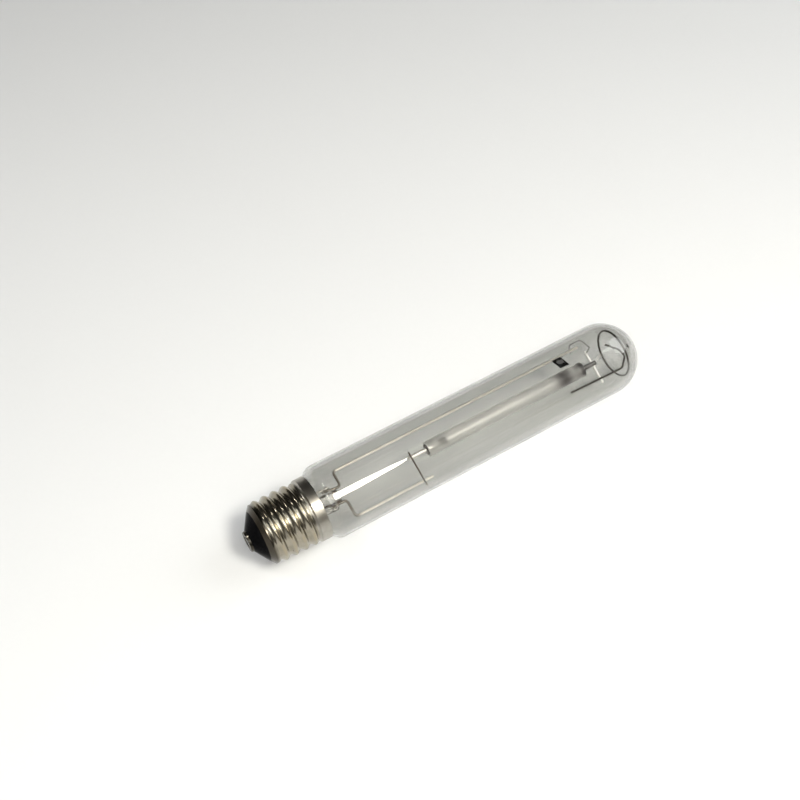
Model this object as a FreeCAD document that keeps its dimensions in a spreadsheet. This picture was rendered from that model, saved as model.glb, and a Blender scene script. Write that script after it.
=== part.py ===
import FreeCAD, Part
import math
import os
import re
import Sketcher
from FreeCAD import Placement, Rotation, Vector

# High pressure sodium lamp: clear tubular bulb, 40 mm screw cap, ceramic arc tube on a wire mount.
# X runs along the lamp from the centre contact (x = 0) to the dome, +Z is up as the lamp lies.
# Sizes are in millimetres and degrees. A station is a distance along X.

SIZES = {
    # Screw cap
    "contact_radius": 6.25,
    "contact_skirt_radius": 6.6,
    "contact_depth": 1.5,
    "contact_sheet": 0.6,
    "dish_radius": 3.2,
    "dish_depth": 0.5,
    "contact_hole_radius": 1.4,
    "solder_radius": 2.5,
    "solder_length": 2.0,
    "lip_x": 7.35,
    "lip_inset": 3.05,
    "lip_angle": 50.7,
    "lip_land": 0.45,
    "shell_sheet": 0.45,
    "thread_major_diameter": 39.3,
    "thread_depth": 1.8,
    "thread_pitch": 6.35,
    "thread_first_crest": 2.3,
    "thread_run_out": 2.9,
    "cap_length": 45.3,
    "rim_rise": 0.15,
    "rim_length": 6.0,
    "rim_step_length": 0.9,
    "insulator_back_x": 12.4,
    "insulator_hole_radius": 2.4,
    "cement_start_x": 27.0,
    "fit_gap": 0.05,
    # Glass
    "bulb_length": 273.85,
    "bulb_radius": 23.2,
    "bulb_wall": 1.2,
    "shoulder_bend_share": 1.06,
    "neck_bend": 8.0,
    "flare_angle": 40.0,
    "rim_glass_gap": 0.2,
    "neck_end_x": 24.0,
    "stem_radius": 8.0,
    "stem_wall": 1.2,
    "stem_flare_bend": 5.0,
    "stem_length": 19.0,
    "pinch_length": 4.5,
    "press_length": 9.5,
    "press_width": 15.4,
    "press_thickness": 6.4,
    "press_edge_radius": 1.2,
    "exhaust_radius": 2.2,
    "exhaust_wall": 0.7,
    "exhaust_overhang": 3.5,
    # Wire mount at the cap end
    "mount_roll": 16.0,
    "rod_diameter": 1.6,
    "rod_seat_depth": 5.0,
    "long_rod_clearance": 7.8,
    "long_rod_root_offset": 5.3,
    "long_rod_knee_offset": 4.2,
    "long_rod_knee": 6.8,
    "long_rod_bend": 2.2,
    "long_rod_tail": 5.6,
    "short_rod_clearance": 5.8,
    "short_rod_root_offset": 4.85,
    "short_rod_knee": 5.8,
    "short_rod_bend": 1.9,
    "short_rod_tail": 6.4,
    "pin_diameter": 1.2,
    "pin_start_x": 33.0,
    "pin_overhang": 3.2,
    "lead_diameter": 0.7,
    "lead_bend": 0.8,
    "side_lead_x": 21.2,
    "side_weld_setback": 1.1,
    "side_solder_height": 0.4,
    "side_solder_crown": 3.0,
    "centre_lead_diameter": 0.9,
    "centre_lead_turn_x": 19.0,
    "centre_lead_axis_x": 15.0,
    "centre_lead_end_x": 1.2,
    "centre_lead_bend": 2.5,
    # Arc tube and its ends
    "arc_tube_start_x": 121.0,
    "arc_tube_setback": 14.65,
    "arc_tube_radius": 4.8,
    "arc_tube_wall": 0.8,
    "plug_length": 4.0,
    "feed_radius": 1.5,
    "feed_wall": 0.3,
    "feed_depth": 3.0,
    "cap_feed_length": 12.8,
    "dome_feed_length": 10.3,
    "seal_ring_radius": 3.6,
    "seal_ring_thickness": 0.8,
    "electrode_radius": 0.5,
    "cap_electrode_reach": 14.5,
    "dome_electrode_reach": 16.5,
    "coil_wire_radius": 0.45,
    "coil_pitch": 0.855,
    "coil_radius": 2.2,
    "coil_setback": 1.0,
    "dose_radius": 1.1,
    "dose_setback": 6.0,
    # What carries the arc tube
    "cross_wire_setback": 11.5,
    "cross_wire_diameter": 1.0,
    "cross_wire_clearance": 2.4,
    "cross_wire_overhang": 3.2,
    "cross_bar_setback": 8.3,
    "cross_bar_diameter": 1.6,
    "cross_bar_lean": 1.5,
    "cross_bar_top": 10.0,
    "cross_bar_bottom": 13.3,
    "bow_diameter": 1.3,
    "bow_tail": 14.4,
    "bow_tail_offset": 9.9,
    "bow_corner_offset": 10.9,
    "bow_bend": 1.5,
    "bow_nose_clearance": 5.25,
    "bow_nose_offset": 5.0,
    "bow_nose_bend": 3.0,
    "bow_rise": 5.8,
    "bow_lean": 1.2,
    "bow_tip_reach": 8.85,
    "bow_tip_offset": 7.6,
    "ring_reach": 9.95,
    "ring_clearance": 3.25,
    "strap_angle": 66.0,
    "strap_sheet": 0.3,
    "strap_width": 3.2,
    "strap_ring_width": 1.6,
    "strap_overhang": 1.0,
    "flexible_diameter": 0.6,
    "flexible_back": 8.4,
    "flexible_tail": 1.8,
    "flexible_loop": 4.0,
    "flexible_front": 5.3,
    "flexible_bend": 3.2,
    "flexible_end_bend": 1.2,
    "getter_setback": 14.6,
    "getter_length": 6.4,
    "getter_width": 9.7,
    "getter_sheet": 0.3,
    "getter_tilt": 146.0,
    "getter_ring_radius": 2.6,
    "getter_ring_wall": 0.25,
    "getter_ring_height": 0.6,
    "getter_fill": 0.45,
}

doc = FreeCAD.newDocument("SodiumLamp")
sheet = doc.addObject("Spreadsheet::Sheet", "Sizes")
for row, (alias, value) in enumerate(SIZES.items(), start=1):
    sheet.set("A%d" % row, alias)
    sheet.set("B%d" % row, str(value))
    sheet.setAlias("B%d" % row, alias)
doc.recompute()

# Derived sizes, as expressions of the driving ones
THREAD_CORE = "(thread_major_diameter - thread_depth) / 2"
THREAD_BORE = "(%s - shell_sheet)" % THREAD_CORE
LIP_RADIUS = "(%s - lip_inset)" % THREAD_CORE
THREAD_START = "(lip_x + lip_inset / tan(lip_angle) + lip_land)"
RIM_START = "(cap_length - rim_length)"
RIM_RADIUS = "(thread_major_diameter / 2 + rim_rise)"
RIM_BORE = "(%s - shell_sheet)" % RIM_RADIUS
THREAD_END = "(%s - rim_step_length)" % RIM_START
SHELL_BORE = "(thread_major_diameter / 2 - thread_depth - shell_sheet)"
NECK_RADIUS = "(%s - lead_diameter - 2 * fit_gap)" % SHELL_BORE
SIDE_LEAD_OFFSET = "(%s - fit_gap - lead_diameter / 2)" % SHELL_BORE
BULB_BORE = "(bulb_radius - bulb_wall)"
DOME_CENTRE = "(bulb_length - bulb_radius)"
SHOULDER_BEND = "(shoulder_bend_share * (bulb_radius - %s))" % NECK_RADIUS
FLARE_TOP = "(bulb_radius - %s * (1 - cos(flare_angle)))" % SHOULDER_BEND
FLARE_FOOT = "(%s + neck_bend * (1 - cos(flare_angle)))" % NECK_RADIUS
SHOULDER_X = ("(cap_length + (%s - %s + rim_glass_gap) / tan(flare_angle)"
              " + %s * sin(flare_angle))") % (FLARE_TOP, RIM_BORE, SHOULDER_BEND)
NECK_X = ("(%s - (%s + neck_bend) * sin(flare_angle) - (%s - %s) / tan(flare_angle))"
          % (SHOULDER_X, SHOULDER_BEND, FLARE_TOP, FLARE_FOOT))
STEM_CLOSE = "(neck_end_x + stem_length)"
PRESS_START = "(%s + pinch_length)" % STEM_CLOSE
PRESS_END = "(%s + press_length)" % PRESS_START
LONG_ROD_OFFSET = "(%s - long_rod_clearance)" % BULB_BORE
SHORT_ROD_OFFSET = "(%s - short_rod_clearance)" % BULB_BORE
SIDE_WELD_X = "(%s + side_weld_setback)" % NECK_X
ARC_TUBE_END = "(%s - arc_tube_setback)" % DOME_CENTRE
ARC_TUBE_BORE = "(arc_tube_radius - arc_tube_wall)"
CROSS_WIRE_X = "(arc_tube_start_x - cross_wire_setback)"
CROSS_BAR_X = "(%s + cross_bar_setback)" % ARC_TUBE_END
CROSS_BAR_TOP_X = "(%s + cross_bar_lean)" % CROSS_BAR_X
SOLDER_RISE = "(dish_depth - 2 * fit_gap)"
SOLDER_CROWN = "(%s / 2 + solder_radius ^ 2 / (2 * %s))" % (SOLDER_RISE, SOLDER_RISE)
CROSS_BAR_DROP = "(feed_radius + fit_gap + cross_bar_diameter / 2)"
RING_RADIUS = "(sqrt(%s ^ 2 - ring_reach ^ 2) - ring_clearance - bow_diameter / 2)" % BULB_BORE

ALONG = Vector(1, 0, 0)
ACROSS = Vector(0, 1, 0)
UP = Vector(0, 0, 1)
COIL_TURNS = 6
THREAD_POINTS_PER_TURN = 8
parts = []


def bound(text):
    """The expression with each size's name made a reference to its cell."""
    return re.sub(r"[a-z_]+", lambda word: "Sizes." + word[0] if word[0] in SIZES else word[0], text)


def size(text):
    """The present value of a size or of an expression of sizes."""
    return float(sheet.evalExpression(bound(text)))


def rolled(base=Vector(0, 0, 0), turn=0.0):
    """A place in the mount's plane, which is rolled about X. Its Y points to the long rod."""
    roll = Placement(Vector(0, 0, 0), Rotation(ALONG, size("mount_roll")))
    return roll.multiply(Placement(base, Rotation(ALONG, turn)))


def keep(piece):
    parts.append(piece)
    return piece


# Sketches: closed outlines whose corners are bound to the sheet


def new_sketch(body, name):
    sketch = body.newObject("Sketcher::SketchObject", name)
    plane = [item for item in body.Origin.OriginFeatures if item.Role == "XY_Plane"][0]
    sketch.AttachmentSupport = [(plane, "")]
    sketch.MapMode = "FlatFace"
    return sketch


def bind(sketch, constraint, text):
    index = sketch.addConstraint(constraint)
    sketch.setExpression("Constraints[%d]" % index, bound(text))


def pin_point(sketch, edge, point, across, up):
    """Fix a sketch point by its two coordinates, either of which may be "0"."""
    for kind, axis, text in (("DistanceX", -2, across), ("DistanceY", -1, up)):
        if text == "0":
            sketch.addConstraint(Sketcher.Constraint("PointOnObject", edge, point, axis))
        else:
            bind(sketch, Sketcher.Constraint(kind, -1, 1, edge, point, size(text)), text)


def short_arc(start, end, radius, side):
    """The shorter arc of that radius, its centre to the left (1) or right (-1) of start to end."""
    chord = end - start
    left = Vector(-chord.y, chord.x, 0).normalize()
    rise = math.sqrt(max(radius ** 2 - chord.Length ** 2 / 4, 0))
    centre = (start + end) * 0.5 + left * (side * rise)
    ends = [start, end] if side > 0 else [end, start]
    first, last = [math.atan2(spot.y - centre.y, spot.x - centre.x) for spot in ends]
    if last < first:
        last += 2 * math.pi
    return Part.ArcOfCircle(Part.Circle(centre, UP, radius), first, last)


def outline_sketch(body, name, outline):
    """A closed outline. A corner is (across, up), or (across, up, radius, side) where an arc starts."""
    sketch = new_sketch(body, name)
    spots = [Vector(size(corner[0]), size(corner[1]), 0) for corner in outline]
    edges = []
    for index, corner in enumerate(outline):
        start, end = spots[index], spots[(index + 1) % len(spots)]
        if len(corner) == 2:
            edges.append((sketch.addGeometry(Part.LineSegment(start, end)), 1, 2))
            continue
        edge = sketch.addGeometry(short_arc(start, end, size(corner[2]), corner[3]))
        edges.append((edge, 1, 2) if corner[3] > 0 else (edge, 2, 1))
    for index, corner in enumerate(outline):
        edge, first, last = edges[index]
        following, follower, _ = edges[(index + 1) % len(edges)]
        sketch.addConstraint(Sketcher.Constraint("Coincident", edge, last, following, follower))
        pin_point(sketch, edge, first, corner[0], corner[1])
        if len(corner) > 2:
            bind(sketch, Sketcher.Constraint("Radius", edge, size(corner[2])), corner[2])
    return sketch


def add_circle(sketch, across, up, radius):
    circle = Part.Circle(Vector(size(across), size(up), 0), UP, size(radius))
    edge = sketch.addGeometry(circle)
    pin_point(sketch, edge, 3, across, up)
    bind(sketch, Sketcher.Constraint("Radius", edge, size(radius)), radius)


def new_body(name):
    body = doc.addObject("PartDesign::Body", name)
    body.Label = name
    return body


def turned(name, outline):
    """A body revolved about the lamp's axis from an outline of (station, radius) corners."""
    body = new_body(name)
    sketch = outline_sketch(body, name + "_section", outline)
    turn = body.newObject("PartDesign::Revolution", name + "_turn")
    turn.Profile = sketch
    turn.ReferenceAxis = (sketch, ["H_Axis"])
    turn.Angle = 360
    return body


def padded(body, sketch, thickness, midplane):
    """A pad of the sketch, half to each side of it or all below it."""
    pad = body.newObject("PartDesign::Pad", sketch.Name + "_pad")
    pad.Profile = sketch
    pad.setExpression("Length", bound(thickness))
    pad.Midplane = midplane
    pad.Reversed = not midplane


# Round bars and bent wires


def straight_wire(name, start, end, diameter):
    """A round bar between two points of the mount's plane."""
    bar = doc.addObject("Part::Cylinder", name)
    bar.Label = name
    bar.setExpression("Radius", bound(diameter + " / 2"))
    bar.Height = (end - start).Length
    aim = Placement(start, Rotation(UP, end - start))
    bar.Placement = rolled().multiply(aim)
    return bar


def bent_route(points, bends):
    """Straight runs along the points, joined by an arc of the given radius at each inner point."""
    edges = []
    start = points[0]
    for before, corner, after, bend in zip(points, points[1:], points[2:], bends):
        back = (before - corner).normalize()
        ahead = (after - corner).normalize()
        half = back.getAngle(ahead) / 2
        enter = corner + back * (bend / math.tan(half))
        leave = corner + ahead * (bend / math.tan(half))
        crown = corner + (back + ahead).normalize() * (bend / math.sin(half) - bend)
        edges.append(Part.LineSegment(start, enter).toShape())
        edges.append(Part.Arc(enter, crown, leave).toShape())
        start = leave
    edges.append(Part.LineSegment(start, points[-1]).toShape())
    return Part.Wire(edges)


def bent_wire(name, points, bends, diameter, height=0.0):
    """A round wire swept along a bent route, at one height over the mount's plane."""
    spots = [Vector(size(station), size(offset), height) for station, offset in points]
    route = doc.addObject("Part::Feature", name + "_route")
    route.Shape = bent_route(spots, [size(bend) for bend in bends])
    section = doc.addObject("Part::Circle", name + "_section")
    section.setExpression("Radius", bound(diameter + " / 2"))
    section.Placement = Placement(spots[0], Rotation(UP, spots[1] - spots[0]))
    wire = doc.addObject("Part::Sweep", name)
    wire.Label = name
    wire.Sections = [section]
    wire.Spine = (route, [])
    wire.Solid = True
    wire.Placement = rolled()
    return keep(wire)


def cut_away(name, base, tools):
    """The base with each tool cut out of it in turn."""
    for index, tool in enumerate(tools, start=1):
        cut = doc.addObject("Part::Cut", "%s_cut_%d" % (name, index))
        cut.Base = base
        cut.Tool = tool
        base = cut
    base.Label = name
    return keep(base)


# Screw shell: one rolled sheet with a lip, a helical thread, a step and a plain rim


def thread_centre(station):
    """Where the sheet's ring stands: it winds round the axis, and comes back to it at both ends."""
    depth = size("thread_depth / 2")
    from_start = (station - size(THREAD_START)) / size("thread_run_out")
    from_end = (size(THREAD_END) - station) / size("thread_run_out")
    ramp = max(0.0, min(1.0, from_start, from_end))
    reach = depth * ramp ** 2 * (3 - 2 * ramp)
    past_crest = station - size(THREAD_START) - size("thread_first_crest")
    turn = 2 * math.pi * past_crest / size("thread_pitch")
    return Vector(station, reach * math.cos(turn), reach * math.sin(turn))


def thread_path():
    start = size(THREAD_START)
    length = size(THREAD_END) - start
    spans = round(length / size("thread_pitch") * THREAD_POINTS_PER_TURN)
    path = Part.BSplineCurve()
    path.interpolate(Points=[thread_centre(start + length * step / spans) for step in range(spans + 1)])
    return path


def thread_wall(path, radius):
    """The surface of a circle carried along the path without turning: the sum of the two curves."""
    circle = Part.Circle(Vector(0, 0, 0), ALONG, radius).toBSpline()
    if circle.isPeriodic():
        circle.setNotPeriodic()
    poles = [[centre + spot for spot in circle.getPoles()] for centre in path.getPoles()]
    weights = [circle.getWeights() for _ in path.getPoles()]
    wall = Part.BSplineSurface()
    wall.buildFromPolesMultsKnots(
        poles, path.getMultiplicities(), circle.getMultiplicities(), path.getKnots(),
        circle.getKnots(), False, False, path.Degree, circle.Degree, weights)
    return wall.toShape()


def ring_face(station, outer, inner):
    centre = Vector(station, 0, 0)
    loops = [Part.Wire([Part.Edge(Part.Circle(centre, ALONG, radius))]) for radius in (outer, inner)]
    return Part.makeFace(loops, "Part::FaceMakerBullseye")


def make_thread():
    outer, inner = size(THREAD_CORE), size(THREAD_BORE)
    path = thread_path()
    faces = [thread_wall(path, outer), thread_wall(path, inner)]
    faces += [ring_face(size(station), outer, inner) for station in (THREAD_START, THREAD_END)]
    skin = Part.makeShell(faces)
    skin.sewShape()
    thread = doc.addObject("Part::Feature", "rolled_thread")
    thread.Shape = Part.Solid(skin)
    return thread


def lip_mouth(inset):
    """The cone's small end, moved square to the sheet by the inset."""
    return "lip_x + (%s) * sin(lip_angle)" % inset, LIP_RADIUS + " - (%s) * cos(lip_angle)" % inset


def lip_corner(inset):
    """Where the cone meets the plain ring, moved inside the sheet by the inset."""
    station, radius = lip_mouth(inset)
    corner = "%s - (%s)" % (THREAD_CORE, inset)
    return "%s + (%s - (%s)) / tan(lip_angle)" % (station, corner, radius), corner


def make_screw_shell(lead_hole):
    outside = "0 * shell_sheet"
    lip = turned("shell_lip", [
        lip_mouth(outside),
        lip_corner(outside),
        (THREAD_START, THREAD_CORE),
        (THREAD_START, THREAD_BORE),
        lip_corner("shell_sheet"),
        lip_mouth("shell_sheet"),
    ])
    rim = turned("shell_rim", [
        (THREAD_END, THREAD_CORE),
        (RIM_START, RIM_RADIUS),
        ("cap_length - shell_sheet / 2", RIM_RADIUS, "shell_sheet / 2", -1),
        ("cap_length", RIM_RADIUS + " - shell_sheet / 2", "shell_sheet / 2", -1),
        ("cap_length - shell_sheet / 2", RIM_BORE),
        (RIM_START, RIM_BORE),
        (THREAD_END, THREAD_BORE),
    ])
    pierced = doc.addObject("Part::Cut", "pierced_rim")
    pierced.Base = rim
    pierced.Tool = lead_hole
    shell = doc.addObject("Part::MultiFuse", "screw_shell")
    shell.Label = "screw_shell"
    shell.Shapes = [make_thread(), lip, pierced]
    keep(shell)


# Insulator, contact, solder and cement


def make_insulator():
    """Black glass: a cone outside the shell's lip, a plug inside it, and a funnel for the lead."""
    nose = "contact_sheet + fit_gap"
    recess = "contact_sheet + dish_depth + fit_gap"
    keep(turned("cap_insulator", [
        (nose, "dish_radius + dish_depth + contact_sheet"),
        (nose, "contact_radius - contact_sheet - fit_gap"),
        ("contact_depth", "contact_skirt_radius - contact_sheet - fit_gap"),
        ("contact_depth", "contact_skirt_radius"),
        ("lip_x - fit_gap", LIP_RADIUS + " - fit_gap"),
        lip_mouth("shell_sheet + fit_gap"),
        lip_corner("shell_sheet + fit_gap"),
        (THREAD_START, THREAD_BORE + " - fit_gap"),
        ("insulator_back_x", SHELL_BORE + " - 4 * fit_gap"),
        ("insulator_back_x", "2 * insulator_hole_radius"),
        ("insulator_back_x / 2", "insulator_hole_radius"),
        (recess, "insulator_hole_radius"),
        (recess, "dish_radius + contact_sheet"),
    ]))


def make_contact(centre_lead):
    """A pressed pan with a dished middle, and the solder that fills the dish round the lead."""
    keep(turned("centre_contact", [
        ("0", "dish_radius + dish_depth"),
        ("0", "contact_radius - contact_sheet / 2"),
        ("contact_sheet / 2", "contact_radius"),
        ("contact_depth", "contact_skirt_radius"),
        ("contact_depth", "contact_skirt_radius - contact_sheet"),
        ("contact_sheet", "contact_radius - contact_sheet"),
        ("contact_sheet", "dish_radius + dish_depth"),
        ("contact_sheet + dish_depth", "dish_radius"),
        ("contact_sheet + dish_depth", "contact_hole_radius"),
        ("dish_depth", "contact_hole_radius"),
        ("dish_depth", "dish_radius"),
    ]))
    plug = turned("solder_plug", [
        ("2 * fit_gap", "0", SOLDER_CROWN, -1),
        ("dish_depth", "solder_radius"),
        ("dish_depth", "contact_hole_radius - fit_gap"),
        ("solder_length", "contact_hole_radius - fit_gap"),
        ("solder_length", "0"),
    ])
    cut_away("contact_solder", plug, [centre_lead])


def make_cement():
    """Cement between the neck and the shell, with a slot that the side lead runs in."""
    neck, foot = flare_foot("0 - fit_gap")
    ring = turned("cement_ring", [
        ("cement_start_x", neck[1]),
        (*neck, "neck_bend - fit_gap", 1),
        foot,
        (foot[0], RIM_BORE + " - fit_gap"),
        (RIM_START, RIM_BORE + " - fit_gap"),
        (THREAD_END, THREAD_BORE + " - fit_gap"),
        (THREAD_END + " - thread_run_out / 2", SHELL_BORE + " - fit_gap"),
        ("cement_start_x", SHELL_BORE + " - fit_gap"),
    ])
    width = "(lead_diameter + 2 * fit_gap)"
    slot = doc.addObject("Part::Box", "lead_slot")
    slot.setExpression("Length", bound("%s - cement_start_x + 2 * %s" % (SIDE_WELD_X, width)))
    slot.setExpression("Width", bound("%s - %s + %s" % (RIM_RADIUS, NECK_RADIUS, width)))
    slot.setExpression("Height", bound(width))
    corner = Vector(size("cement_start_x - " + width), size("%s - %s" % (NECK_RADIUS, width)),
                    -size(width) / 2)
    slot.Placement = rolled(corner)
    cut_away("cap_cement", ring, [slot])


# Blown glass


def flare_foot(inset):
    """The neck's end and the flare's foot, moved into the glass by the inset."""
    neck = (NECK_X, "%s - (%s)" % (NECK_RADIUS, inset))
    foot = ("%s + (neck_bend + (%s)) * sin(flare_angle)" % (NECK_X, inset),
            "%s + neck_bend - (neck_bend + (%s)) * cos(flare_angle)" % (NECK_RADIUS, inset))
    return neck, foot


def flare_top(inset):
    """The flare's top and the tube's start, moved into the glass by the inset."""
    bend = "(%s - (%s))" % (SHOULDER_BEND, inset)
    top = ("%s - %s * sin(flare_angle)" % (SHOULDER_X, bend),
           "bulb_radius - %s + %s * cos(flare_angle)" % (SHOULDER_BEND, bend))
    return top, (SHOULDER_X, "bulb_radius - (%s)" % inset)


def make_bulb():
    """Neck, flare, tube and round dome, in one wall."""
    outside = "0 * bulb_wall"
    neck, foot = flare_foot(outside)
    top, shoulder = flare_top(outside)
    inner_neck, inner_foot = flare_foot("bulb_wall")
    inner_top, inner_shoulder = flare_top("bulb_wall")
    keep(turned("outer_bulb", [
        ("neck_end_x", NECK_RADIUS),
        (*neck, "neck_bend", 1),
        foot,
        (*top, SHOULDER_BEND, -1),
        shoulder,
        (DOME_CENTRE, "bulb_radius", "bulb_radius", -1),
        ("bulb_length", "0"),
        ("bulb_length - bulb_wall", "0", BULB_BORE, 1),
        (DOME_CENTRE, BULB_BORE),
        (*inner_shoulder, SHOULDER_BEND + " - bulb_wall", 1),
        inner_top,
        (*inner_foot, "neck_bend + bulb_wall", -1),
        inner_neck,
        ("neck_end_x", NECK_RADIUS + " - bulb_wall"),
    ]))


def make_exhaust_tube():
    """The tube that the bulb was pumped through, closed at its tip inside the cap."""
    tip = "neck_end_x - exhaust_overhang"
    root = STEM_CLOSE + " - stem_wall"
    bore = "exhaust_radius - exhaust_wall"
    keep(turned("exhaust_tube", [
        (tip, "0", "exhaust_radius", -1),
        (tip + " + exhaust_radius", "exhaust_radius"),
        (root, "exhaust_radius"),
        (root, bore),
        (tip + " + exhaust_radius", bore, bore, 1),
        (tip + " + exhaust_wall", "0"),
    ]))


def closed_loop(station, corners, crowns):
    """Four edges across the lamp. Each is an arc through its crown, or straight where that is None."""
    spots = [Vector(station, *corner) for corner in corners]
    edges = []
    for index, crown in enumerate(crowns):
        start, end = spots[index], spots[(index + 1) % len(spots)]
        if crown is None:
            edges.append(Part.LineSegment(start, end).toShape())
        else:
            edges.append(Part.Arc(start, Vector(station, *crown), end).toShape())
    return Part.Wire(edges)


def round_loop(station, radius):
    lean = radius * math.sqrt(0.5)
    corners = [(lean, lean), (-lean, lean), (-lean, -lean), (lean, -lean)]
    crowns = [(0, radius), (-radius, 0), (0, -radius), (radius, 0)]
    return closed_loop(station, corners, crowns)


def press_loop(station):
    """The pressed end's section: flat on two sides and round at its two edges."""
    half = size("press_thickness") / 2
    edge = size("press_width") / 2
    flat = edge - half
    corners = [(flat, half), (-flat, half), (-flat, -half), (flat, -half)]
    return closed_loop(station, corners, [None, (-edge, 0), None, (edge, 0)])


def make_stem(wires):
    """A flared tube sealed to the neck, pinched flat round the wires at its other end."""
    bend_end = "neck_end_x + stem_flare_bend"
    rise = "stem_radius + stem_flare_bend"
    inner = "stem_radius - stem_wall"
    flared = turned("stem_flare", [
        ("neck_end_x", NECK_RADIUS),
        ("neck_end_x", rise, "stem_flare_bend", 1),
        (bend_end, "stem_radius"),
        (STEM_CLOSE, "stem_radius"),
        (STEM_CLOSE, "0"),
        (STEM_CLOSE + " - stem_wall", "0"),
        (STEM_CLOSE + " - stem_wall", inner),
        (bend_end, inner, "stem_flare_bend + stem_wall", -1),
        ("neck_end_x - stem_wall", rise),
        ("neck_end_x - stem_wall", NECK_RADIUS),
    ])
    pinch = doc.addObject("Part::Feature", "stem_pinch")
    start = round_loop(size(STEM_CLOSE), size("stem_radius"))
    pinch.Shape = Part.makeLoft([start, press_loop(size(PRESS_START))], True, True)
    pinch.Placement = rolled()
    press = doc.addObject("Part::Feature", "stem_press")
    block = Part.Face(press_loop(size(PRESS_START))).extrude(ALONG * size("press_length"))
    end_edges = [edge for edge in block.Edges
                 if abs(edge.BoundBox.XMin - size(PRESS_END)) < size("fit_gap")]
    press.Shape = block.makeFillet(size("press_edge_radius"), end_edges)
    press.Placement = rolled()
    stem = doc.addObject("Part::MultiFuse", "stem_blank")
    stem.Shapes = [flared, pinch, press]
    cut_away("stem_glass", stem, wires)


# Wires through the stem, and the two support rods


def pin_offset(root, knee, knee_x):
    """How far out a pin runs so that its end touches the side of a rod leaning from root to knee."""
    start = size(PRESS_END + " - rod_seat_depth")
    end = size(PRESS_END + " + pin_overhang")
    slope = (knee - root) / (knee_x - start)
    rod_side = size("rod_diameter / 2") * math.hypot(1, slope)
    return root + slope * (end - start) - rod_side - size("pin_diameter / 2 + fit_gap")


def make_stem_wires():
    knee_x = size(PRESS_END + " + long_rod_knee")
    long_pin = pin_offset(size("long_rod_root_offset"), size("long_rod_knee_offset"), knee_x)
    root = size("short_rod_root_offset")
    short_pin = -pin_offset(root, root, knee_x)
    pins = []
    for name, offset in (("long_seal_pin", long_pin), ("short_seal_pin", short_pin)):
        start = Vector(size("pin_start_x"), offset, 0)
        end = Vector(size(PRESS_END + " + pin_overhang"), offset, 0)
        pins.append(keep(straight_wire(name, start, end, "pin_diameter")))
    centre_lead = bent_wire("centre_lead", [
        ("pin_start_x", str(short_pin)),
        ("centre_lead_turn_x", str(short_pin)),
        ("centre_lead_axis_x", "0"),
        ("centre_lead_end_x", "0"),
    ], ["centre_lead_bend"] * 2, "centre_lead_diameter")
    side_lead = bent_wire("side_lead", [
        ("pin_start_x", str(long_pin)),
        ("side_lead_x", str(long_pin)),
        ("side_lead_x", SIDE_LEAD_OFFSET),
        (SIDE_WELD_X, SIDE_LEAD_OFFSET),
        (SIDE_WELD_X, RIM_RADIUS + " + 2 * fit_gap"),
    ], ["lead_bend"] * 3, "lead_diameter")
    long_rod = bent_wire("long_support_rod", [
        (PRESS_END + " - rod_seat_depth", "long_rod_root_offset"),
        (PRESS_END + " + long_rod_knee", "long_rod_knee_offset"),
        (PRESS_END + " + long_rod_knee", LONG_ROD_OFFSET),
        (ARC_TUBE_END + " + long_rod_tail", LONG_ROD_OFFSET),
    ], ["long_rod_bend"] * 2, "rod_diameter")
    short_rod = bent_wire("short_support_rod", [
        (PRESS_END + " - rod_seat_depth", "0 - short_rod_root_offset"),
        (PRESS_END + " + short_rod_knee", "0 - short_rod_root_offset"),
        (PRESS_END + " + short_rod_knee", "0 - " + SHORT_ROD_OFFSET),
        (CROSS_WIRE_X + " + short_rod_tail", "0 - " + SHORT_ROD_OFFSET),
    ], ["short_rod_bend"] * 2, "rod_diameter")
    return pins + [long_rod, short_rod], centre_lead, side_lead


def make_lead_hole():
    """The hole in the rim that the side lead comes out of."""
    start = Vector(size(SIDE_WELD_X), size(SIDE_LEAD_OFFSET), 0)
    end = Vector(size(SIDE_WELD_X), size(RIM_RADIUS + " + rim_length"), 0)
    return straight_wire("lead_hole", start, end, "(lead_diameter + 2 * fit_gap)")


def make_side_solder(side_lead):
    """A low round blob of solder over the side lead's end, on the rim."""
    ball = doc.addObject("Part::Sphere", "solder_ball")
    ball.setExpression("Radius", "Sizes.side_solder_crown")
    lift = size(RIM_RADIUS + " + side_solder_height - side_solder_crown")
    centre = Vector(size(SIDE_WELD_X), lift, 0)
    ball.Placement = rolled(centre)
    rim = doc.addObject("Part::Cylinder", "solder_seat")
    rim.setExpression("Radius", bound(RIM_RADIUS))
    rim.setExpression("Height", "3 * Sizes.side_solder_crown")
    rim.Placement = Placement(Vector(size(SIDE_WELD_X + " - 1.5 * side_solder_crown"), 0, 0),
                              Rotation(UP, ALONG))
    cut_away("side_solder", ball, [rim, side_lead])


# Arc tube: ceramic tube, and at each end a plug, a sealing ring, a feed tube and an electrode


def make_arc_tube():
    keep(turned("arc_tube", [
        ("arc_tube_start_x", "arc_tube_radius"),
        (ARC_TUBE_END, "arc_tube_radius"),
        (ARC_TUBE_END, ARC_TUBE_BORE),
        ("arc_tube_start_x", ARC_TUBE_BORE),
    ]))
    for end, face, inward in (("cap", "arc_tube_start_x", 1), ("dome", ARC_TUBE_END, -1)):
        make_arc_tube_end(end, face, inward)
    dose = doc.addObject("Part::Sphere", "amalgam_dose")
    dose.Label = "amalgam_dose"
    dose.setExpression("Radius", "Sizes.dose_radius")
    dose.Placement.Base = Vector(size(ARC_TUBE_END + " - dose_setback"), 0,
                                 size("dose_radius + fit_gap - " + ARC_TUBE_BORE))
    keep(dose)


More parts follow.
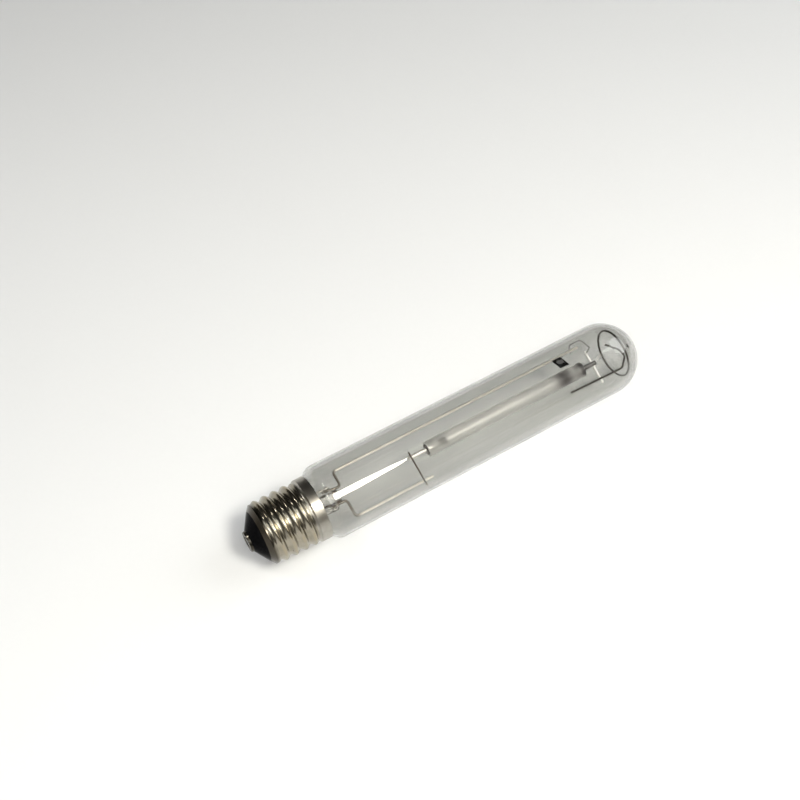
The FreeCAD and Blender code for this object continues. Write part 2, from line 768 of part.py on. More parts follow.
def make_arc_tube_end(end, face, inward):
    """One end's pieces. A depth is measured from the tube's end face into the tube."""

    def at(depth, radius, *arc):
        sign = "+" if inward > 0 else "-"
        bend = (arc[0], arc[1] * inward) if arc else ()
        return ("%s %s (%s)" % (face, sign, depth), radius, *bend)

    bore = "feed_radius + fit_gap"
    keep(turned(end + "_end_plug", [
        at("0", bore),
        at("0", ARC_TUBE_BORE + " - fit_gap"),
        at("plug_length", ARC_TUBE_BORE + " - fit_gap"),
        at("plug_length", bore),
    ]))
    keep(turned(end + "_seal_ring", [
        at("0", bore),
        at("0", "seal_ring_radius"),
        at("0 - seal_ring_thickness / 2", "seal_ring_radius"),
        at("0 - seal_ring_thickness", bore + " + seal_ring_thickness"),
        at("0 - seal_ring_thickness", bore),
    ]))
    stub_bore = "electrode_radius + fit_gap"
    keep(turned(end + "_niobium_tube", [
        at("0 - %s_feed_length" % end, "feed_radius"),
        at("feed_depth", "feed_radius"),
        at("feed_depth", stub_bore),
        at("feed_depth - 2 * feed_wall", stub_bore),
        at("feed_depth - 2 * feed_wall", "feed_radius - feed_wall"),
        at("0 - %s_feed_length" % end, "feed_radius - feed_wall"),
    ]))
    reach = end + "_electrode_reach"
    crest = "coil_radius - coil_wire_radius"
    coil_start = "%s - coil_setback - %d * coil_pitch" % (reach, COIL_TURNS)
    coil = [at("%s + %d * coil_pitch" % (coil_start, turn), crest, "coil_wire_radius", -1)
            for turn in range(COIL_TURNS)]
    keep(turned(end + "_electrode", [
        at("feed_depth - 4 * feed_wall", "0"),
        at("feed_depth - 4 * feed_wall", "electrode_radius"),
        at(coil_start, "electrode_radius"),
        *coil,
        at(reach + " - coil_setback", crest),
        at(reach + " - coil_setback", "electrode_radius"),
        at(reach, "electrode_radius"),
        at(reach, "0"),
    ]))


# What carries the arc tube: cross wire at the cap end, cross bar, bow, ring and strap at the dome


def make_cross_wire():
    """Welded in front of the feed tube and of the short rod, so it leans a little."""
    station = size(CROSS_WIRE_X)
    offset = size(SHORT_ROD_OFFSET)
    over_feed = Vector(station, 0, size("feed_radius + fit_gap + cross_wire_diameter / 2"))
    over_rod = Vector(station, -offset, size("rod_diameter / 2 + fit_gap + cross_wire_diameter / 2"))
    step = (over_rod - over_feed) * (1 / offset)
    start = over_feed - step * size("cross_wire_overhang")
    end = over_feed + step * size(BULB_BORE + " - cross_wire_clearance")
    keep(straight_wire("cross_wire", start, end, "cross_wire_diameter"))


def make_dome_end():
    drop = size(CROSS_BAR_DROP)
    top = Vector(size(CROSS_BAR_TOP_X), size("cross_bar_top"), -drop)
    bottom = Vector(size(CROSS_BAR_X), -size("cross_bar_bottom"), -drop)
    keep(straight_wire("cross_bar", bottom, top, "cross_bar_diameter"))
    nose = "bulb_length - bulb_wall - bow_nose_clearance"
    bent_wire("dome_bow", [
        (ARC_TUBE_END + " - bow_tail", "0 - bow_tail_offset"),
        (DOME_CENTRE + " + ring_reach", "0 - bow_corner_offset"),
        (nose, "0 - bow_nose_offset"),
        (nose + " - bow_lean", "bow_rise - bow_nose_offset"),
        (DOME_CENTRE + " + bow_tip_reach", "bow_tip_offset"),
    ], ["bow_bend", "bow_nose_bend", "bow_nose_bend"], "bow_diameter",
        size("cross_bar_diameter / 2 + bow_diameter / 2 + fit_gap") - drop)
    ring = doc.addObject("Part::Torus", "dome_ring")
    ring.Label = "dome_ring"
    ring.setExpression("Radius1", bound(RING_RADIUS))
    ring.setExpression("Radius2", "Sizes.bow_diameter / 2")
    ring.Placement = Placement(Vector(size(DOME_CENTRE + " + ring_reach"), 0, 0), Rotation(UP, ALONG))
    keep(ring)
    share = size("cross_bar_bottom / (cross_bar_top + cross_bar_bottom)")
    make_strap(bottom + (top - bottom) * share, top - bottom)
    bent_wire("flexible_lead", [
        (CROSS_BAR_X + " - flexible_back", LONG_ROD_OFFSET + " - flexible_tail"),
        (CROSS_BAR_X + " - flexible_back + flexible_tail", LONG_ROD_OFFSET + " + flexible_loop"),
        (CROSS_BAR_X + " + flexible_front / 2", LONG_ROD_OFFSET + " + flexible_loop"),
        (CROSS_BAR_X + " + flexible_front", LONG_ROD_OFFSET + " - 2 * flexible_tail"),
        (CROSS_BAR_TOP_X + " - cross_bar_diameter / 4", "cross_bar_top - cross_bar_diameter"),
    ], ["flexible_bend", "flexible_bend", "flexible_end_bend"], "flexible_diameter",
        -size("rod_diameter / 2 + flexible_diameter / 2 + fit_gap"))


def make_strap(on_bar, along_bar):
    """A tapered strap laid behind the cross bar at one end and behind the ring at the other."""
    angle = math.radians(size("strap_angle"))
    spoke = Vector(0, math.cos(angle), -math.sin(angle))
    tangent = Vector(0, math.sin(angle), math.cos(angle))
    on_ring = Vector(size(DOME_CENTRE + " + ring_reach"), 0, 0) + spoke * size(RING_RADIUS)
    run = (on_ring - on_bar).normalize()
    side = (along_bar - run * along_bar.dot(run)).normalize()
    front = run.cross(side)
    behind = size("strap_sheet / 2 + fit_gap")
    tilt_room = size("strap_ring_width / 2") * abs(tangent.dot(front))
    start = on_bar - front * (size("cross_bar_diameter / 2") + behind)
    end = on_ring - front * (size("bow_diameter / 2") + behind + tilt_room)
    run = (end - start).normalize()
    side = (along_bar - run * along_bar.dot(run)).normalize()
    reach = "%r + 2 * strap_overhang" % (end - start).Length
    strap = new_body("ring_strap")
    sketch = outline_sketch(strap, "strap_outline", [
        ("0", "0"),
        (reach, "(strap_width - strap_ring_width) / 2"),
        (reach, "(strap_width + strap_ring_width) / 2"),
        ("0", "strap_width"),
    ])
    padded(strap, sketch, "strap_sheet", True)
    corner = start - run * size("strap_overhang") - side * size("strap_width / 2")
    aim = Placement(corner, Rotation(run, side, run.cross(side), "XYZ"))
    strap.Placement = rolled().multiply(aim)
    keep(strap)


def make_getter():
    """A flag plate on the long rod, with a pressed ring that holds the getter's fill."""
    start = ARC_TUBE_END + " - getter_setback"
    near = "rod_diameter / 2 + fit_gap"
    plate = new_body("getter_plate")
    flag = outline_sketch(plate, "getter_flag", [
        (start, near),
        (start + " + getter_length", near),
        (start + " + getter_length", near + " + getter_width"),
        (start, near + " + getter_width"),
    ])
    padded(plate, flag, "getter_sheet", True)
    middle = (start + " + getter_length / 2", near + " + getter_width / 2")
    ring = new_sketch(plate, "getter_ring")
    add_circle(ring, *middle, "getter_ring_radius")
    add_circle(ring, *middle, "getter_ring_radius - getter_ring_wall")
    padded(plate, ring, "getter_sheet / 2 + getter_ring_height", False)
    hinge = Vector(0, size(LONG_ROD_OFFSET), 0)
    plate.Placement = rolled(hinge, size("getter_tilt"))
    keep(plate)
    pill = doc.addObject("Part::Cylinder", "getter_pill")
    pill.Label = "getter_pill"
    pill.setExpression("Radius", bound("getter_ring_radius - getter_ring_wall - fit_gap"))
    pill.setExpression("Height", "Sizes.getter_fill")
    seat = Vector(size(middle[0]), size(middle[1]), -size("getter_sheet / 2 + getter_fill"))
    pill.Placement = rolled(hinge, size("getter_tilt")).multiply(Placement(seat, Rotation()))
    keep(pill)


stem_wires, centre_lead, side_lead = make_stem_wires()
make_screw_shell(make_lead_hole())
make_insulator()
make_contact(centre_lead)
make_cement()
make_side_solder(side_lead)
make_bulb()
make_stem(stem_wires)
make_exhaust_tube()
make_arc_tube()
make_cross_wire()
make_dome_end()
make_getter()
doc.recompute()

for item in doc.Objects:
    if "Invalid" in item.State or "Error" in item.State:
        raise RuntimeError("%s did not compute: %s" % (item.Label, item.State))
for piece in parts:
    if piece.Shape.isNull() or not piece.Shape.isValid() or not piece.Shape.Solids:
        raise RuntimeError("%s has no valid solid" % piece.Label)

os.makedirs("parts", exist_ok=True)
for piece in parts:
    piece.Shape.exportStep("parts/%s.step" % piece.Label)
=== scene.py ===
"""Looks for the high pressure sodium lamp: glass, metal and ceramic finishes, studio light and camera."""
import math

import bpy
from mathutils import Matrix, Vector


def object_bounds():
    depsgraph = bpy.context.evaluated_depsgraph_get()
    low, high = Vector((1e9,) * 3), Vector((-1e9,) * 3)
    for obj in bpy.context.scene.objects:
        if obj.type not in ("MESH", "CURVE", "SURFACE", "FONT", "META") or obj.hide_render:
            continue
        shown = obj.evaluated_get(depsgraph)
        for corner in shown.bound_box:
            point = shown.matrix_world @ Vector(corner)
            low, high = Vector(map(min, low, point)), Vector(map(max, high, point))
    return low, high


# The photograph's camera: its image in pixels, its sensor in millimetres, the rest in metres
IMAGE_WIDTH = 800.0
FOCAL_PIXELS = 1156.07
SENSOR_WIDTH = 36.0
CAMERA_PLACE = Vector((-0.080387, -0.320915, 0.586065))
CAMERA_RIGHT = Vector((0.857323, -0.514572, -0.014579))
CAMERA_UP = Vector((0.427045, 0.695110, 0.578320))
CLIP_NEAR = 0.01
CLIP_FAR = 50.0

# The room's brightness overhead, on the near side and below the horizon
ROOM_DARK = 0.02
ROOM_SIDE = 0.15
ROOM_LOW = 0.55
ROOM_COLOUR = (1.0, 0.94, 0.83)

# The Y and the Z of a direction between which the room turns from dark to bright
SIDE_FADE = (0.04, -0.12)
LOW_FADE = (0.12, 0.0)

FLOOR_HALF = 3.0
FLOOR_DROP = 0.00002

# How far a light's target lies off the point under it, so that its height runs along Y
AIM_OFFSET = 0.001

# Spans along the lamp, in metres from the contact's face, over which a finish sets in or dies out
# LIP_FADE spans the lip that is painted dark, a painted reflection of dark surroundings
LIP_FADE = (0.0125, 0.0100)
RIM_FADE = (0.0372, 0.0380)
SCORCH_FADE = (0.0670, 0.0640)
STAIN_START_FADE = (0.215, 0.220)
STAIN_END_FADE = (0.2285, 0.2245)
SEAL_STAIN_FADE = (0.2325, 0.2340)

# The span of distances from the lamp's axis over which the thread's worn crests set in
CREST_FADE = (0.0190, 0.0197)

# Noise patterns: how they are stretched, and the span that holds most of their values
UNSTRETCHED = (1.0, 1.0, 1.0)
ROUND_AXIS = (1.0, 0.04, 0.04)
ALONG_AXIS = (0.05, 1.0, 1.0)
NOISE_MIDDLE = (0.3, 0.7)
FULL = (0.0, 1.0)

# Sockets of the colour mix node
MIX_SHARE = 0
MIX_FIRST = 6
MIX_SECOND = 7
MIX_RESULT = 2

# Tints of the glass as it turns from facing the eye to edge-on, and where each stage lies. The stages are
# partly the longer path through the wall and partly painted shade: a painted dark outline at the rim and, on
# the bulb, a darker side band and a painted lighter band at the edge
WHITE = (1.0, 1.0, 1.0)
LIGHT_TINT = (0.98, 0.98, 0.975)
GLASS_STAGES = {"side": (0.04, 0.26), "edge": (0.42, 0.58), "rim": (0.72, 0.84)}
# GLINT_FADE: where reflections dim towards the rim tint, a painted dark outline
GLINT_FADE = (0.80, 0.97)
BULB_TINTS = {
    "body": (0.79, 0.79, 0.78),
    "clouded": (0.765, 0.765, 0.75),
    "side": (0.65, 0.65, 0.635),
    "edge": (0.72, 0.72, 0.715),
    "rim": (0.20, 0.20, 0.195),
}
STEM_TINTS = {
    "body": (0.97, 0.97, 0.96),
    "clouded": (0.92, 0.90, 0.87),
    "side": (0.92, 0.89, 0.84),
    "edge": (0.50, 0.41, 0.32),
    "rim": (0.16, 0.12, 0.09),
}


# Materials


def opaque(colour):
    """A colour with full alpha; a number or a socket stays as it is."""
    return colour + (1.0,) if isinstance(colour, tuple) else colour


class Nodes:
    """Short calls that add nodes to a tree and wire them."""

    def __init__(self, tree):
        self.tree = tree

    def own(self, kind):
        """The node of a kind that the tree came with."""
        return next(node for node in self.tree.nodes if node.type == kind)

    def fill(self, made, inputs):
        """Link or set a node's inputs."""
        for key, value in inputs.items():
            if isinstance(value, bpy.types.NodeSocket):
                self.tree.links.new(value, made.inputs[key])
            else:
                made.inputs[key].default_value = value
        return made

    def add(self, kind, inputs=None, **settings):
        """A new node with its settings and inputs."""
        made = self.tree.nodes.new(kind)
        for key, value in settings.items():
            setattr(made, key, value)
        return self.fill(made, inputs or {})

    def spread(self, value, span, reach=FULL, curve="LINEAR"):
        """A value's course over a span, mapped to a reach and held at its ends."""
        ends = {"From Min": span[0], "From Max": span[1], "To Min": reach[0], "To Max": reach[1]}
        made = self.add("ShaderNodeMapRange", {"Value": value, **ends}, interpolation_type=curve)
        return made.outputs["Result"]

    def math(self, operation, first, second):
        """Two values joined by a sum, a product or the like."""
        made = self.add("ShaderNodeMath", {0: first, 1: second}, operation=operation)
        return made.outputs["Value"]


class Finish(Nodes):
    """A Principled material with the patterns that drive it, in the object's own coordinates."""

    def __init__(self, name, **sockets):
        self.material = bpy.data.materials.new(name)
        self.material.use_nodes = True
        super().__init__(self.material.node_tree)
        self.shader = self.own("BSDF_PRINCIPLED")
        for socket, value in sockets.items():
            self.set(socket.replace("_", " "), value)

    def set(self, socket, value):
        """Link or set one of the shader's inputs."""
        self.fill(self.shader, {socket: opaque(value)})

    def coordinates(self, stretch=UNSTRETCHED):
        """The object's own coordinates, in metres, scaled along each axis."""
        own = self.add("ShaderNodeTexCoord").outputs["Object"]
        return self.add("ShaderNodeMapping", {"Vector": own, "Scale": stretch}).outputs["Vector"]

    def along(self):
        """The distance along the lamp's axis."""
        return self.add("ShaderNodeSeparateXYZ", {"Vector": self.coordinates()}).outputs["X"]

    def off_axis(self):
        """The distance from the lamp's axis."""
        across = self.coordinates((0.0, 1.0, 1.0))
        return self.add("ShaderNodeVectorMath", {0: across}, operation="LENGTH").outputs["Value"]

    def noise(self, scale, detail, stretch=UNSTRETCHED):
        """A cloudy pattern."""
        made = self.add("ShaderNodeTexNoise", {
            "Vector": self.coordinates(stretch), "Scale": scale, "Detail": detail})
        return made.outputs["Fac"]

    def blend(self, share, first, second):
        """The first colour, turning into the second as the share rises."""
        made = self.add("ShaderNodeMix", {
            MIX_SHARE: share, MIX_FIRST: opaque(first), MIX_SECOND: opaque(second)}, data_type="RGBA")
        return made.outputs[MIX_RESULT]

    def bump(self, height, strength, distance):
        """Relief from a pattern."""
        made = self.add("ShaderNodeBump", {
            "Height": height, "Strength": strength, "Distance": distance})
        self.set("Normal", made.outputs["Normal"])

    def pass_light(self, tint):
        """Let lamp light and scattered light run straight through, tinted, to what lies behind."""
        path = self.add("ShaderNodeLightPath")
        through = self.add("ShaderNodeBsdfTransparent", {"Color": opaque(tint)}).outputs["BSDF"]
        surface = self.shader.outputs["BSDF"]
        for ray in ("Is Diffuse Ray", "Is Shadow Ray"):
            mix = self.add("ShaderNodeMixShader", {0: path.outputs[ray], 1: surface, 2: through})
            surface = mix.outputs["Shader"]
        self.fill(self.own("OUTPUT_MATERIAL"), {"Surface": surface})


def nickel_plate():
    """Plating over rolled brass, with dull patches, worn crests, a lip painted dark as a painted reflection
    of dark surroundings, and a satin rim.
    """
    plate = (0.35, 0.322, 0.26)
    dull_plate = (0.245, 0.222, 0.174)
    brass = (0.53, 0.445, 0.29)
    collar = (0.40, 0.383, 0.345)
    dull_collar = (0.33, 0.312, 0.278)
    lip_painted_dark = (0.06, 0.052, 0.04)
    rim_roughness = 0.10
    finish = Finish("nickel_plate", Metallic=1.0)
    marks = finish.noise(scale=900.0, detail=3.0, stretch=ROUND_AXIS)
    dents = finish.noise(scale=420.0, detail=3.0)
    patches = finish.noise(scale=160.0, detail=5.0)
    tarnish = finish.spread(patches, span=(0.42, 0.68))
    rim = finish.spread(finish.along(), span=RIM_FADE)
    lip = finish.spread(finish.along(), span=LIP_FADE)
    crest = finish.spread(finish.off_axis(), span=CREST_FADE)
    worn = finish.math("MULTIPLY", crest, finish.spread(patches, span=(0.40, 0.60), reach=(0.05, 0.5)))
    thread = finish.blend(worn, finish.blend(tarnish, plate, dull_plate), brass)
    shell = finish.blend(rim, thread, finish.blend(tarnish, collar, dull_collar))
    # Painted shade on the lip: a dark colour standing for dark surroundings mirrored there
    finish.set("Base Color", finish.blend(lip, shell, lip_painted_dark))
    streaks = finish.spread(marks, span=NOISE_MIDDLE, reach=(0.17, 0.25))
    dull = finish.spread(patches, span=(0.45, 0.70), reach=(0.0, 0.05))
    satin = finish.math("MULTIPLY", rim, rim_roughness)
    finish.set("Roughness", finish.math("ADD", finish.math("ADD", streaks, dull), satin))
    finish.bump(finish.math("ADD", marks, dents), strength=0.25, distance=0.00003)
    return finish.material


def black_glass():
    """Moulded black glass with a little dust."""
    clean = (0.0015, 0.0015, 0.002)
    dusty = (0.006, 0.006, 0.007)
    finish = Finish("black_glass", IOR=1.15, Specular_IOR_Level=0.1)
    dust = finish.noise(scale=700.0, detail=6.0)
    ripples = finish.noise(scale=180.0, detail=3.0)
    finish.set("Base Color", finish.blend(finish.spread(dust, span=(0.45, 0.75)), clean, dusty))
    finish.set("Roughness", finish.spread(dust, span=(0.35, 0.75), reach=(0.06, 0.20)))
    finish.bump(ripples, strength=0.3, distance=0.0001)
    return finish.material


def worn_metal(name, bright, dull, rough, grain, stretch=UNSTRETCHED, relief=0.00003, scorched=None):
    """Bare metal with grain and dull patches, scorched towards the cap where a colour is given for it."""
    patch_share = 0.22
    finish = Finish(name, Metallic=1.0)
    lines = finish.noise(scale=grain, detail=3.0, stretch=stretch)
    patches = finish.noise(scale=grain * patch_share, detail=4.0)
    colour = finish.blend(finish.spread(patches, span=(0.38, 0.66)), bright, dull)
    if scorched:
        colour = finish.blend(finish.spread(finish.along(), span=SCORCH_FADE), colour, scorched)
    finish.set("Base Color", colour)
    fine = finish.spread(lines, span=NOISE_MIDDLE, reach=rough)
    patchy = finish.spread(patches, span=(0.45, 0.7), reach=(0.0, 0.08))
    finish.set("Roughness", finish.math("ADD", fine, patchy))
    finish.bump(lines, strength=0.3, distance=relief)
    return finish.material


def cement():
    """Dry cement between the neck and the shell."""
    dark = (0.50, 0.47, 0.40)
    pale = (0.72, 0.69, 0.61)
    finish = Finish("cement", Roughness=0.92)
    grains = finish.noise(scale=2200.0, detail=6.0)
    finish.set("Base Color", finish.blend(grains, dark, pale))
    finish.bump(grains, strength=0.6, distance=0.0002)
    return finish.material


def clear_glass(name, tints, waves, strength, relief):
    """Blown glass: a faint cloudy film, tints that darken edge-on partly for the longer path through the
    wall and partly as painted shade, a painted dark outline with dimmed reflections at the rim, draw lines
    and soft waves.
    """
    line_share = 0.4
    finish = Finish(name, Transmission_Weight=1.0, IOR=1.50)
    drawn = finish.noise(scale=90.0, detail=3.0, stretch=(0.02, 1.0, 1.0))
    film = finish.noise(scale=60.0, detail=5.0, stretch=(0.25, 1.0, 1.0))
    swell = finish.noise(scale=waves, detail=2.0)
    facing = finish.add("ShaderNodeLayerWeight").outputs["Facing"]
    tint = finish.blend(finish.spread(film, span=(0.35, 0.7)), tints["body"], tints["clouded"])
    # Tint by facing: partly the longer path through the wall, partly painted shade and light
    for stage, span in GLASS_STAGES.items():
        tint = finish.blend(finish.spread(facing, span), tint, tints[stage])
    finish.set("Base Color", tint)
    # Reflections dimmed towards edge-on: a painted dark outline
    finish.set("Specular Tint", finish.blend(finish.spread(facing, GLINT_FADE), WHITE, tints["rim"]))
    finish.set("Roughness", finish.spread(film, span=(0.55, 0.80), reach=(0.0, 0.02)))
    finish.bump(finish.math("ADD", finish.math("MULTIPLY", drawn, line_share), swell), strength, relief)
    finish.pass_light(LIGHT_TINT)
    return finish.material


def alumina():
    """Sintered ceramic that blurs what lies behind it, stained round the dome electrode and at the seal."""
    white = (0.94, 0.937, 0.925)
    cloudy = (0.91, 0.905, 0.89)
    stain = (0.34, 0.32, 0.325)
    finish = Finish("alumina", Transmission_Weight=0.96, IOR=1.3,
                    Coat_Weight=0.5, Coat_Roughness=0.30, Coat_IOR=1.5)
    grains = finish.noise(scale=1500.0, detail=5.0)
    clouds = finish.noise(scale=90.0, detail=4.0, stretch=(0.3, 1.0, 1.0))
    along = finish.along()
    band = finish.math("MULTIPLY", finish.spread(along, STAIN_START_FADE, reach=(0.0, 0.9)),
                       finish.spread(along, STAIN_END_FADE))
    stained = finish.math("MAXIMUM", band, finish.spread(along, SEAL_STAIN_FADE, reach=(0.0, 0.9)))
    finish.set("Base Color", finish.blend(stained, finish.blend(clouds, white, cloudy), stain))
    finish.set("Roughness", finish.spread(grains, span=NOISE_MIDDLE, reach=(0.36, 0.44)))
    finish.bump(grains, strength=0.2, distance=0.00003)
    finish.pass_light(LIGHT_TINT)
    return finish.material


def sealing_frit():
    """Dark sealing glass."""
    dark = (0.06, 0.055, 0.055)
    pale = (0.12, 0.115, 0.11)
    finish = Finish("sealing_frit", IOR=1.6)
    blush = finish.noise(scale=900.0, detail=4.0)
    finish.set("Base Color", finish.blend(blush, dark, pale))
    finish.set("Roughness", finish.spread(blush, span=NOISE_MIDDLE, reach=(0.18, 0.36)))
    finish.bump(blush, strength=0.3, distance=0.00008)
    return finish.material


def getter_fill():
    """Pressed grey powder."""
    dark = (0.10, 0.10, 0.104)
    pale = (0.16, 0.16, 0.166)
    finish = Finish("getter_fill", Roughness=0.85)
    grains = finish.noise(scale=3000.0, detail=5.0)
    finish.set("Base Color", finish.blend(grains, dark, pale))
    finish.bump(grains, strength=0.6, distance=0.0001)
    return finish.material


def floor_paper():
    """Pale studio paper."""
    shaded = (0.86, 0.875, 0.895)
    pale = (0.88, 0.895, 0.915)
    finish = Finish("floor_paper")
    tooth = finish.noise(scale=400.0, detail=4.0)
    finish.set("Base Color", finish.blend(tooth, shaded, pale))
    finish.set("Roughness", finish.spread(tooth, span=NOISE_MIDDLE, reach=(0.7, 0.85)))
    finish.bump(tooth, strength=0.1, distance=0.00005)
    return finish.material


support_wire = worn_metal("support_wire", bright=(0.98, 0.94, 0.88), dull=(0.86, 0.81, 0.74),
                          rough=(0.30, 0.38), grain=1400.0, stretch=ALONG_AXIS, relief=0.00001,
                          scorched=(0.24, 0.215, 0.19))
bar_metal = worn_metal("bar_metal", bright=(0.98, 0.97, 0.95), dull=(0.86, 0.85, 0.83),
                       rough=(0.42, 0.50), grain=1400.0)
lead_wire = worn_metal("lead_wire", bright=(0.50, 0.49, 0.47), dull=(0.30, 0.29, 0.28),
                       rough=(0.12, 0.24), grain=2000.0)
seal_wire = worn_metal("seal_wire", bright=(0.14, 0.11, 0.09), dull=(0.06, 0.048, 0.04),
                       rough=(0.24, 0.40), grain=1800.0)
dome_wire = worn_metal("dome_wire", bright=(0.18, 0.172, 0.162), dull=(0.09, 0.086, 0.08),
                       rough=(0.24, 0.36), grain=1400.0)
contact_metal = worn_metal("contact_metal", bright=(0.10, 0.093, 0.075), dull=(0.04, 0.036, 0.03),
                           rough=(0.20, 0.34), grain=1100.0, relief=0.00006)
solder = worn_metal("solder", bright=(0.26, 0.26, 0.25), dull=(0.15, 0.15, 0.145),
                    rough=(0.26, 0.46), grain=900.0, relief=0.00012)
# Niobium in a lit and a shaded copy: the cap tube pale for a painted highlight, the dome tube dark for
# painted shade
niobium = worn_metal("niobium", bright=(0.94, 0.92, 0.90), dull=(0.80, 0.78, 0.76),
                     rough=(0.42, 0.52), grain=1500.0)
niobium_painted_dark = worn_metal("niobium_painted_dark", bright=(0.34, 0.33, 0.32), dull=(0.20, 0.195, 0.19),
                           rough=(0.30, 0.40), grain=1500.0)
tungsten = worn_metal("tungsten", bright=(0.07, 0.067, 0.065), dull=(0.035, 0.034, 0.033),
                      rough=(0.32, 0.50), grain=2500.0)
getter_metal = worn_metal("getter_metal", bright=(0.16, 0.16, 0.165), dull=(0.09, 0.09, 0.094),
                          rough=(0.20, 0.30), grain=900.0)
amalgam = worn_metal("amalgam", bright=(0.80, 0.80, 0.80), dull=(0.62, 0.62, 0.62),
                     rough=(0.08, 0.18), grain=1500.0)
bulb_glass = clear_glass("clear_glass", BULB_TINTS, waves=20.0, strength=0.05, relief=0.0006)
stem_glass = clear_glass("stem_glass", STEM_TINTS, waves=260.0, strength=0.7, relief=0.0012)
ceramic = alumina()
frit = sealing_frit()

NODE_FINISH = {
    "screw_shell": nickel_plate(),
    "cap_insulator": black_glass(),
    "centre_contact": contact_metal,
    "contact_solder": solder,
    "side_solder": solder,
    "cap_cement": cement(),
    "outer_bulb": bulb_glass,
    "stem_glass": stem_glass,
    "exhaust_tube": stem_glass,
    "long_seal_pin": seal_wire,
    "short_seal_pin": seal_wire,
    "centre_lead": lead_wire,
    "side_lead": lead_wire,
    "flexible_lead": lead_wire,
    "long_support_rod": support_wire,
    "short_support_rod": support_wire,
    "cross_wire": seal_wire,
    "cross_bar": bar_metal,
    "dome_bow": dome_wire,
    "dome_ring": dome_wire,
    "ring_strap": bar_metal,
    "arc_tube": ceramic,
    "cap_end_plug": ceramic,
    "dome_end_plug": ceramic,
    "cap_seal_ring": frit,
    "dome_seal_ring": frit,
    # Lit and shaded copies of one niobium: painted highlight at the cap, painted shade at the dome
    "cap_niobium_tube": niobium,
    "dome_niobium_tube": niobium_painted_dark,
    "cap_electrode": tungsten,
    "dome_electrode": tungsten,
    "getter_plate": getter_metal,
    "getter_pill": getter_fill(),
    "amalgam_dose": amalgam,
}


# Floor, light and camera


def make_floor(height):
    """A wide pale floor at a height."""
    square = ((-1, -1), (1, -1), (1, 1), (-1, 1))
    corners = [(x * FLOOR_HALF, y * FLOOR_HALF, height) for x, y in square]
    mesh = bpy.data.meshes.new("floor")
    mesh.from_pydata(corners, [], [range(len(corners))])
    mesh.materials.append(floor_paper())
    floor = bpy.data.objects.new("floor", mesh)
    bpy.context.scene.collection.objects.link(floor)


def make_world():
    """A room: bright on the near side and below the horizon, dark beyond the lamp and overhead."""
    world = bpy.data.worlds.new("room")
    world.use_nodes = True
    room = Nodes(world.node_tree)
    direction = room.add("ShaderNodeTexCoord").outputs["Generated"]
    parts = room.add("ShaderNodeSeparateXYZ", {"Vector": direction}).outputs
    side = room.spread(parts["Y"], SIDE_FADE, reach=(ROOM_DARK, ROOM_SIDE), curve="SMOOTHSTEP")
    low = room.spread(parts["Z"], LOW_FADE, reach=(ROOM_DARK, ROOM_LOW), curve="SMOOTHSTEP")
    brightness = room.math("MAXIMUM", side, low)
    room.fill(room.own("BACKGROUND"), {"Color": opaque(ROOM_COLOUR), "Strength": brightness})
    bpy.context.scene.world = world


def area_light(name, place, target, width, height, radiance, colour, shape="ELLIPSE", turn=0.0):
    """A soft light of a given size and brightness, aimed at a point and turned round its axis by degrees."""
    filled = math.pi / 4 if shape == "ELLIPSE" else 1.0
    light = bpy.data.lights.new(name, "AREA")
    light.shape = shape
    light.size = width
    light.size_y = height
    light.energy = radiance * math.pi * width * height * filled
    light.color = colour
    lamp = bpy.data.objects.new(name, light)
    aim = (Vector(target) - Vector(place)).to_track_quat("-Z", "Y")
    spin = Matrix.Rotation(math.radians(turn), 4, "Z")
    lamp.matrix_world = Matrix.Translation(Vector(place)) @ aim.to_matrix().to_4x4() @ spin
    bpy.context.scene.collection.objects.link(lamp)


def under(place):
    """The point at floor level under a place, a little off along Y."""
    return (place[0], place[1] + AIM_OFFSET, 0.0)


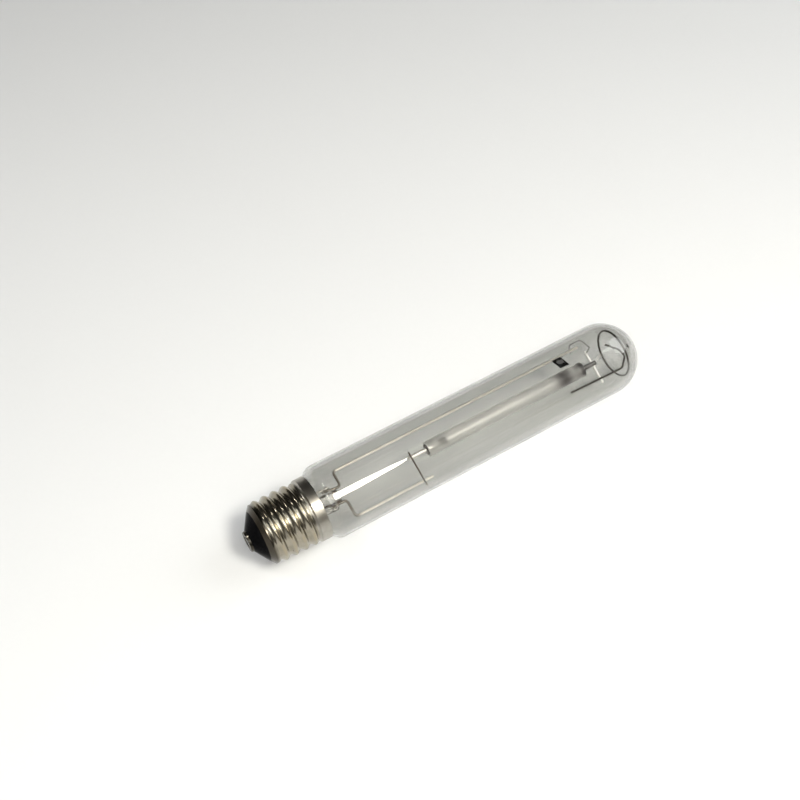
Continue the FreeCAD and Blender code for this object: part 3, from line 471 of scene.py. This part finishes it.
def make_lights():
    """A window and a panel that the cap and the glass mirror, a small lamp behind, and two soft fills."""
    middle = (0.1, 0.0, 0.0)
    cap = (0.03, 0.0, 0.0)
    window = (0.27, -0.555, 1.0)
    panel = (0.02, -0.925, 1.02)
    fill_colour = (0.94, 0.97, 1.0)
    area_light("window", window, under(window), width=0.29, height=0.40,
               radiance=30.0, colour=(1.0, 0.96, 0.86))
    area_light("panel", panel, under(panel), width=0.60, height=1.69,
               radiance=2.4, colour=(1.0, 0.96, 0.87), shape="RECTANGLE", turn=6.6)
    area_light("spot", (-0.43, 0.43, 1.02), cap, width=0.12, height=0.16,
               radiance=40.0, colour=(1.0, 0.98, 0.94))
    area_light("left", (-1.1, -0.62, 1.15), middle, width=1.3, height=0.8,
               radiance=3.0, colour=fill_colour)
    area_light("right", (1.5, -0.2, 1.1), middle, width=1.4, height=1.4,
               radiance=2.1, colour=fill_colour)


def make_camera():
    """The camera that took the photograph."""
    lens = bpy.data.cameras.new("camera")
    lens.sensor_width = SENSOR_WIDTH
    lens.lens = FOCAL_PIXELS * SENSOR_WIDTH / IMAGE_WIDTH
    lens.clip_start = CLIP_NEAR
    lens.clip_end = CLIP_FAR
    camera = bpy.data.objects.new("camera", lens)
    right = CAMERA_RIGHT.normalized()
    back = right.cross(CAMERA_UP).normalized()
    up = back.cross(right)
    turn = Matrix((right, up, back)).transposed()
    camera.matrix_world = Matrix.Translation(CAMERA_PLACE) @ turn.to_4x4()
    bpy.context.scene.collection.objects.link(camera)
    bpy.context.scene.camera = camera


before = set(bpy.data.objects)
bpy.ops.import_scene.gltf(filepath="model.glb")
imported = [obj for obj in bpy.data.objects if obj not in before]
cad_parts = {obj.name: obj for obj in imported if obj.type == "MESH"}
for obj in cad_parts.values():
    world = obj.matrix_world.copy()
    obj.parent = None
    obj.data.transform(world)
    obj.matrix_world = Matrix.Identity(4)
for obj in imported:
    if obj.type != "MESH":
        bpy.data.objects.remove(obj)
cad_low, cad_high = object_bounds()

for name, finish in NODE_FINISH.items():
    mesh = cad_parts[name].data
    for index in range(len(mesh.materials)):
        mesh.materials[index] = finish

make_floor(cad_low.z - FLOOR_DROP)
make_world()
make_lights()
make_camera()
bpy.context.scene.view_settings.view_transform = "Standard"
